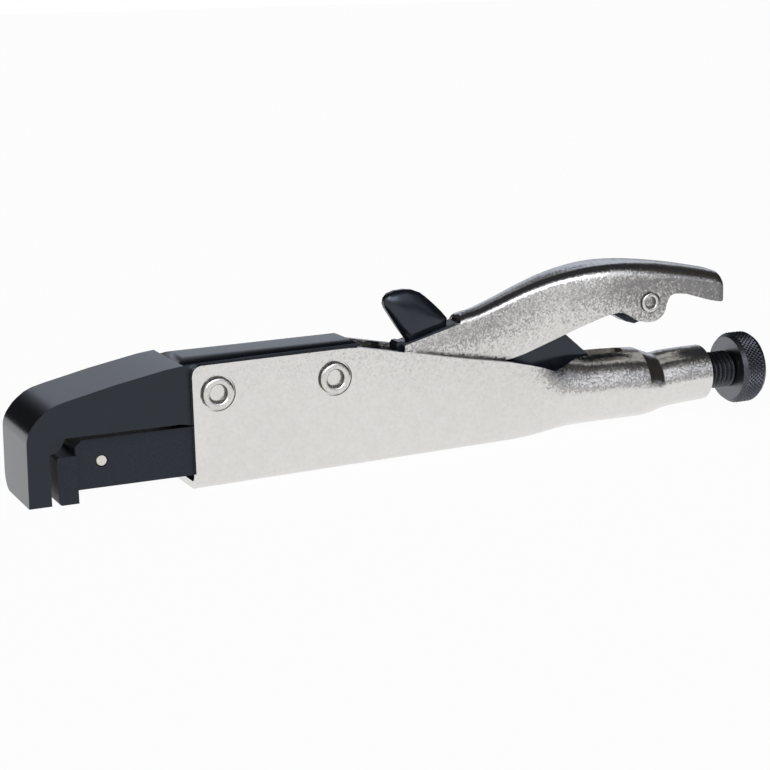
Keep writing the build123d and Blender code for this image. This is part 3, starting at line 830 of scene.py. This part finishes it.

# %% [markdown]
# ## Rivets with hollow heads
# Each rivet is a turned piece: a domed ring, a steep wall and a flat floor inside it. We draw
# half of its outline once, from one head's floor along the shank to the other's, and let the
# Screw modifier turn it round without climbing. The head sits in a round seat that we cut into
# the sheet before, and the narrow gap between them is the dark arc that shows a real rivet is a
# piece of its own. The steep wall inside the ring and the head's outer rim get a dark finish,
# which is painted shade for the hollow and the gap.

# %% Turn the rivets
ring = [
    (0.0, -1.5), (0.40, -1.5), (0.45, -1.45), (0.47, -1.2), (0.50, 0.2), (0.53, 0.6), (0.58, 0.86),
    (0.66, 0.98), (0.76, 1.0), (0.86, 0.93), (0.93, 0.78), (0.96, 0.55), (0.965, -0.5),
]


def turn_rivet(name, node, body_name, head, shank, grip, rise):
    """A rivet across Y. The ring's table holds shares of the head's radius and of its rise."""
    near = [(share * head, -grip - up * rise, 0) for share, up in ring]
    points = near + [(shank, -grip, 0), (shank, grip, 0)] + [(x, -y, 0) for x, y, _ in reversed(near)]
    rivet = trace(name, points)
    turn_round(rivet, "Y", steps=56, weld=0.005)
    middle_x, _, middle_z = centre_of(node)
    pick(rivet, "vertices", lambda v: True)
    bpy.ops.transform.translate(value=(middle_x, 0, middle_z))
    face_outwards(rivet)
    wear_finish(rivet, turned_nickel, "rivet", body_name, node, crease=38)
    # Painted shade: the wall inside the ring and the head's outer rim get the dark finish.
    rivet.data.materials.append(painted_shade_steel)
    for face in rivet.data.polygons:
        reach = math.hypot(face.center.x - middle_x, face.center.z - middle_z) / mm(head)
        inner_wall, rim = 0.44 < reach < 0.515, reach > 0.955
        face.material_index = 1 if inner_wall or rim else 0


for row_name in ("front_jaw_rivet", "rear_jaw_rivet"):
    turn_rivet(row_name + "_turned", row_name, "frame", head=5.0, shank=3.1, grip=half_width, rise=1.2)
turn_rivet("release_rivet_turned", "release_rivet", "handle", head=3.3, shank=1.95, grip=tail_half, rise=0.9)

# %% [markdown]
# ## The release lever and its thumb fin
# The release lever is a black plate that lies inside the lever, and its front end stands up as a
# fin for the thumb. The fin is not flat: its faces are domed, so that a soft light wanders over
# it. Extruding a face again and again, each time a little smaller and a little further out, makes
# such a dome. The plate itself is only an outline with thickness, and Boolean joins the two.

# %% Outlines of the plate and the fin
plate_half, fin_edge_half, fin_middle = 2.6, 0.75, (117.4, 29.4)
pivot_x, _, pivot_z = (value / MM for value in centre_of("release_rivet"))
fin_outline = [
    (114.9, 22.6), (112.6, 25.8), (110.3, 29.5), (108.9, 31.8), (108.45, 33.2), (108.8, 34.8), (110.0, 36.1),
    (112.2, 36.8), (115.4, 37.0), (118.2, 36.6), (120.6, 35.6), (122.6, 34.0), (125.0, 31.8), (127.6, 29.2),
    (129.6, 26.8), (129.2, 24.4), (126.0, 23.2), (122.0, 22.0), (118.6, 20.9), (116.6, 20.2),
]
plate_outline = [
    (111.6, 18.6), (111.5, 20.4), (112.2, 21.4), (113.4, 21.5), (115.0, 20.9), (119.0, 21.8), (124.0, 23.2),
    (130.0, 25.0), (134.0, 26.0), (140.0, 27.2), (150.0, 28.0), (162.0, 30.4), (174.0, 32.6), (184.0, 33.6),
    (190.0, 33.9), (pivot_x, pivot_z + 7.1), (pivot_x + 5.0, pivot_z + 5.0), (pivot_x + 7.1, pivot_z),
    (pivot_x + 5.0, pivot_z - 5.0), (pivot_x, pivot_z - 7.4), (pivot_x - 1.5, pivot_z - 7.8), (192.0, 19.9),
    (188.0, 22.2), (184.0, 24.0), (166.0, 22.2), (150.0, 20.6), (134.0, 19.6), (118.0, 18.3), (113.0, 17.9),
]


def dome(piece, centre, sign, steps):
    """Extrudes the face on one side again and again, each time smaller and a little further out."""
    pick(piece, "polygons", lambda f: f.normal.y * sign > 0.9)
    before = 1.0
    for share, out in steps:
        bpy.ops.mesh.extrude_region_move(TRANSFORM_OT_translate={"value": mm(0, sign * out, 0)})
        scale = share / before
        bpy.ops.transform.resize(value=(scale, 1, scale), center_override=mm(centre[0], 0, centre[1]))
        before = share
    bpy.ops.object.mode_set(mode="OBJECT")


# %% Dome the fin and join it to the plate
# each ring's size as a share of the fin's outline, and its step outwards
dome_rings = [
    (0.992, 0.2), (0.975, 0.24), (0.945, 0.26), (0.90, 0.28), (0.84, 0.28), (0.76, 0.26), (0.66, 0.22),
    (0.54, 0.16), (0.40, 0.1), (0.26, 0.05), (0.12, 0.02),
]
fin = plate_from("fin", fin_outline, -fin_edge_half, fin_edge_half)
for sign in (-1, 1):
    dome(fin, fin_middle, sign, dome_rings)
release = plate_from("release_plate", plate_outline, -plate_half, plate_half)
combine("UNION", release, fin)
round_edges(release, 0.45, segments=3, bend_from=60)
wear_finish(release, satin_black_plate, "black_plate", "release", "release_lever", crease=35, keep_flats=True)

# %% [markdown]
# ## The adjusting screw: a thread from one traced line
# A thread is one small profile that climbs round the axis. We trace the profile of a single
# pitch with extruded points, and the Screw modifier turns it round the axis while it moves one
# pitch along with each turn. That is how the thread is cut on a lathe, and it is exact at any
# length. Inside it runs a plain core, turned from an outline, whose thin tip ends in the button
# that the screw pushes.

# %% Screw a line round the axis
tip_end, knob_end = (corner[0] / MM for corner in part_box("adjusting_screw"))
knob_length = 8.5
knob_face = knob_end - knob_length
crest, root, pitch = 6.0, 5.0, 1.75
tip_radius, shoulder = 2.5, tip_end + 2.95
thread_start = shoulder + 0.4
turns = int((knob_face - thread_start) / pitch)
# shares of one pitch along the axis, and the radius there
groove = [(0, root), (0.12, root), (0.48, crest), (0.62, crest), (1, root)]
screw = trace("adjusting_screw_cut", [(thread_start + pitch * share, 0, radius) for share, radius in groove])
turn_round(screw, "X", steps=48, weld=0.01, screw_offset=mm(pitch), iterations=turns)
core_end, core_radius = knob_face + 2, root - 0.2
core_outline = [
    (tip_end, 0), (tip_end, tip_radius), (shoulder, tip_radius), (shoulder, core_radius),
    (core_end, core_radius), (core_end, 0),
]
core = trace("screw_core", [(x, 0, z) for x, z in core_outline])
turn_round(core, "X", steps=48, weld=0.01)
print("thread turns:", turns, "faces:", len(screw.data.polygons))

# %% [markdown]
# ## The knob and its diamond knurl
# A knurling tool presses two crossing sets of grooves into the rim, and little pyramids are left
# between them. We start from a cylinder's wall, cut it into squares, poke every square so that
# it has a cross of diagonals, and dissolve the squares' own sides. What is left is a net of
# diamonds, and poking those with a height makes every one a pyramid. Nothing is drawn twice.

# %% Knurl the rim
knob_radius, knob_chamfer, knurl_height = 11.7, 1.2, 0.42
knurl_round, knurl_along = 54, 4

select_only()
bpy.ops.mesh.primitive_cylinder_add(
    vertices=knurl_round,
    radius=mm(knob_radius - knurl_height),
    depth=mm(knob_length - 2 * knob_chamfer),
    end_fill_type="NOTHING",
    location=mm((knob_face + knob_end) / 2, 0, 0),
    rotation=(0, math.pi / 2, 0),
)
knob = bpy.context.object
knob.name = knob.data.name = "knob_rim"
bpy.ops.object.transform_apply(location=True, rotation=True, scale=True)
pick(knob, "edges", lambda e: abs(middle(knob, e).x - mm(knob_face + knob_end) / 2) < mm(1))
bpy.ops.mesh.subdivide(number_cuts=knurl_along - 1)
bpy.ops.mesh.select_all(action="SELECT")
bpy.ops.object.mode_set(mode="OBJECT")
corners = len(knob.data.vertices)
bpy.ops.object.mode_set(mode="EDIT")
bpy.ops.mesh.poke(offset=0, center_mode="MEDIAN")
rim_ends = (mm(knob_face + knob_chamfer), mm(knob_end - knob_chamfer))


def is_side_of_square(edge):
    """True on the squares' own sides, but not on the rim's two end rings."""
    inside = min(abs(middle(knob, edge).x - end) for end in rim_ends) > mm(0.1)
    return inside and max(edge.vertices) < corners


pick(knob, "edges", is_side_of_square)
bpy.ops.mesh.dissolve_edges(use_verts=False)
pick(knob, "polygons", lambda f: len(f.vertices) == 4)
bpy.ops.mesh.poke(offset=mm(knurl_height), use_relative_offset=False, center_mode="MEDIAN")
bpy.ops.object.mode_set(mode="OBJECT")
print("knurl pyramids:", knurl_round * (knurl_along * 2 - 1), "faces:", len(knob.data.polygons))

# %% [markdown]
# The rim is still an open band. Its two end rings are extruded inwards in steps, first the
# chamfer and then the flat faces, as a turner would face the knob after knurling it. Each step
# is one extrude, one move along the axis and one scale towards it. Then the open ends are filled,
# Boolean makes thread, core and knob one piece, and the turned faces get a paler black as painted sheen.

# %% Face the knob's two ends


def step_inwards(along, radius_from, radius_to):
    """Extrudes the selected ring, moves it along X and scales it towards the axis."""
    bpy.ops.mesh.extrude_edges_move(TRANSFORM_OT_translate={"value": mm(along, 0, 0)})
    share = radius_to / radius_from
    bpy.ops.transform.resize(value=(1, share, share), center_override=(0, 0, 0))


def face_end(ring_x, sign, steps):
    """Closes one end of the rim. Each step says how far along the axis, and down to what radius."""
    places = [vertex.co.x / MM for vertex in knob.data.vertices]
    pick(knob, "edges", lambda e: all(abs(places[i] - ring_x) < 0.01 for i in e.vertices))
    radius = knob_radius - knurl_height
    for along, new_radius in steps:
        step_inwards(sign * along, radius, new_radius)
        radius = new_radius
    bpy.ops.object.mode_set(mode="OBJECT")


face_end(knob_face + knob_chamfer, -1, [(knob_chamfer, 10.4), (0, 9.6), (0, 6.2), (0, root)])
face_end(knob_end - knob_chamfer, 1, [(knob_chamfer, 10.4), (0, 9.4), (0, 3.0), (-0.5, 2.2), (-1.6, 0.05)])
for turned_piece in (screw, core, knob):
    pick(turned_piece, "vertices", lambda v: True)
    bpy.ops.mesh.fill_holes(sides=0)
    face_outwards(turned_piece)
combine("UNION", screw, core, knob)
wear_finish(screw, oiled_black_screw, "black_screw", "screw", "adjusting_screw", crease=28)
screw.data.materials.append(screw_face_painted_sheen)
# Painted sheen: the flat faces of the knob get the paler black.
on_knob = [face for face in screw.data.polygons if face.center.x > mm(knob_face - 0.1)]
turned_faces = [face for face in on_knob if abs(face.normal.x) > 0.95]
for face in turned_faces:
    face.material_index = 1
print("turned faces of the knob:", len(turned_faces))

# %% [markdown]
# ## The room: a pale floor and soft light
# The tool stands on a plain pale floor. Camera and mirror rays see that floor almost white, so
# that the steel has something bright to show, and all other rays see plain matt grey, so that
# the shadow stays. Nickel and black gloss show little of their own: what they show is the room.
# So the room is built as a photographer builds it, dark first, and then pale screens are hung in
# it: one low behind the tool and one in front above the camera, both more to the left. A small
# bright window in the front screen draws the white band along the lever and the soft spot on the
# fin, and one lamp beside it gives the shadow. Where the tail mirrors the floor, the floor is
# shaded for mirror rays, as a dark card laid there would do.

# %% Floor
floor_height, floor_centre = cad_box[0][2] - mm(0.2), 0.1
select_only()
bpy.ops.mesh.primitive_circle_add(
    vertices=96, radius=6.0, fill_type="NGON", location=(floor_centre, 0, floor_height)
)
floor = bpy.context.object
floor.name = floor.data.name = "studio_floor"

paper = Finish("pale_paper", Roughness=0.9, Specular_IOR_Level=0.1)
speckle = paper.noise(8.0)
paper.wear(Base_Color=paper.blend(speckle, (0.80, 0.80, 0.80), (0.83, 0.83, 0.83)))
rays = paper.tree.nodes.new("ShaderNodeLightPath")
to_camera, to_metal = (Socket(paper.tree, rays.outputs[kind]) for kind in ("Is Camera Ray", "Is Glossy Ray"))
place = paper.tree.nodes.new("ShaderNodeSeparateXYZ")
paper.tree.links.new(paper.place.output, place.inputs[0])
to_the_right, to_the_back = (Socket(paper.tree, place.outputs[axis]) for axis in "XY")
# metres from the floor's centre
past_the_end = paper.rise(to_the_right, 0.17, 0.23)
in_front = paper.rise(0 - to_the_back, 0.245, 0.28) * paper.rise(to_the_right, 0.115, 0.155) * 0.65
dimmed = to_metal * (1 - (1 - past_the_end) * (1 - in_front))
light = paper.blend(dimmed, (1, 1, 1), (0.2, 0.2, 0.21))
glow = paper.node("ShaderNodeEmission", sockets={"Color": light, "Strength": 1.0})
lit = to_camera * 0.97 + to_metal * 0.92
matt = Socket(paper.tree, paper.shader.outputs[0])
mixed = paper.node("ShaderNodeMixShader", sockets={"Fac": lit, 1: matt, 2: glow})
paper.tree.links.new(mixed.output, paper.tree.nodes["Material Output"].inputs["Surface"])
floor.data.materials.append(paper.material)
print("floor at", round(floor_height * 1000, 2), "mm")

# %% Room


def build_room():
    """Colours by direction: dark overhead, pale screens behind and in front, white to the camera."""
    world = bpy.data.worlds.new("light_tent")
    bpy.context.scene.world = world
    room = NodeNet(world)
    room.tree.nodes.clear()
    direction = room.node("ShaderNodeTexCoord", out="Generated")
    split = room.tree.nodes.new("ShaderNodeSeparateXYZ")
    room.tree.links.new(direction.output, split.inputs[0])
    x, y, z = (Socket(room.tree, split.outputs[axis]) for axis in "XYZ")
    dark, haze, overhead = (0.028, 0.026, 0.025), (0.30, 0.31, 0.34), (0.03, 0.03, 0.034)
    front = room.ramp(
        z,
        (0.0, (0.62, 0.61, 0.60)),
        (0.07, (0.70, 0.70, 0.71)),
        (0.15, (0.95, 0.96, 1.0)),
        (0.58, (0.98, 0.99, 1.03)),
        (0.76, (0.16, 0.16, 0.16)),
        (0.86, overhead),
    )
    shaded_front = room.ramp(
        z, (0.0, (0.6, 0.59, 0.58)), (0.12, haze), (0.5, haze), (0.62, (0.09, 0.085, 0.08)), (0.8, dark)
    )
    back = room.ramp(
        z - (1 - room.rise(x, 0.18, 0.28)) * 0.17,
        (0.02, (0.30, 0.30, 0.32)),
        (0.1, (0.55, 0.59, 0.68)),
        (0.22, (0.60, 0.64, 0.73)),
        (0.34, (0.42, 0.45, 0.53)),
        (0.48, (0.11, 0.105, 0.10)),
        (0.7, overhead),
    )
    ahead = room.blend(room.rise(x, 0.46, 0.56), front, shaded_front)
    window = (3.4, 3.6, 4.0)
    across = room.rise(x, -0.36, -0.1) * (1 - room.rise(x, 0.16, 0.3))
    upward = room.rise(z, 0.14, 0.28) * (1 - room.rise(z, 0.46, 0.6))
    ahead = room.blend(across * upward, ahead, window)
    behind = room.blend(room.rise(x, -0.16, 0.08), dark, back)
    tent = room.blend(room.rise(y, -0.2, 0.25), ahead, behind)
    tent = room.blend(room.rise(x, 0.66, 0.78), tent, dark)
    shade = room.node("ShaderNodeBackground", sockets={"Color": tent, "Strength": 1.0})
    white = room.node("ShaderNodeBackground", sockets={"Color": (1, 1, 1, 1), "Strength": 1.0})
    to_camera = room.node("ShaderNodeLightPath", out="Is Camera Ray")
    mixed = room.node("ShaderNodeMixShader", sockets={"Fac": to_camera, 1: shade, 2: white})
    output = room.tree.nodes.new("ShaderNodeOutputWorld")
    room.tree.links.new(mixed.output, output.inputs["Surface"])
    return world


build_room()


def soft_box(name, place, aim, size, watts):
    """A square lamp at a place in metres, turned to face a point."""
    lamp = bpy.data.lights.new(name, "AREA")
    lamp.shape = "RECTANGLE"
    lamp.size, lamp.size_y = size
    lamp.energy = watts
    holder = bpy.data.objects.new(name, lamp)
    bpy.context.scene.collection.objects.link(holder)
    holder.location = place
    holder.rotation_euler = (Vector(aim) - Vector(place)).to_track_quat("-Z", "Y").to_euler()
    return holder


tool_middle = (0.117, 0, 0.01)
soft_box("window_left", place=(-0.38, -1.05, 0.76), aim=tool_middle, size=(0.5, 0.5), watts=3.4)

# %% [markdown]
# ## The camera
# The picture was taken with a long lens from the left of the jaws, a little above the tool. The
# camera is set by its place and three angles: how far it is turned round, how far it looks down,
# and the slight lean of the picture.

# %% Camera
image_width = 770
focal_in_pixels = 2000.0
turned, down, lean = (math.radians(angle) for angle in (23.7, 12.1, -1.53))
forward = Vector((math.sin(turned) * math.cos(down), math.cos(turned) * math.cos(down), -math.sin(down)))
right = Vector((math.cos(turned), -math.sin(turned), 0))
upright = right.cross(forward)
right_leaning = right * math.cos(lean) + upright * math.sin(lean)
up_leaning = upright * math.cos(lean) - right * math.sin(lean)
lens = bpy.data.cameras.new("photo_camera")
lens.sensor_width = 36.0
lens.lens = focal_in_pixels * lens.sensor_width / image_width
lens.clip_start = 0.01
lens.clip_end = 50.0
camera = bpy.data.objects.new("photo_camera", lens)
bpy.context.scene.collection.objects.link(camera)
turn = Matrix((right_leaning, up_leaning, -forward)).transposed()
camera_place = (-0.13109, -0.5460, 0.13580)
camera.matrix_world = Matrix.Translation(camera_place) @ turn.to_4x4()
bpy.context.scene.camera = camera
bpy.context.scene.view_settings.view_transform = "Standard"
print("lens:", round(lens.lens, 2), "mm")

# %% Update the view layer
bpy.context.view_layer.update()
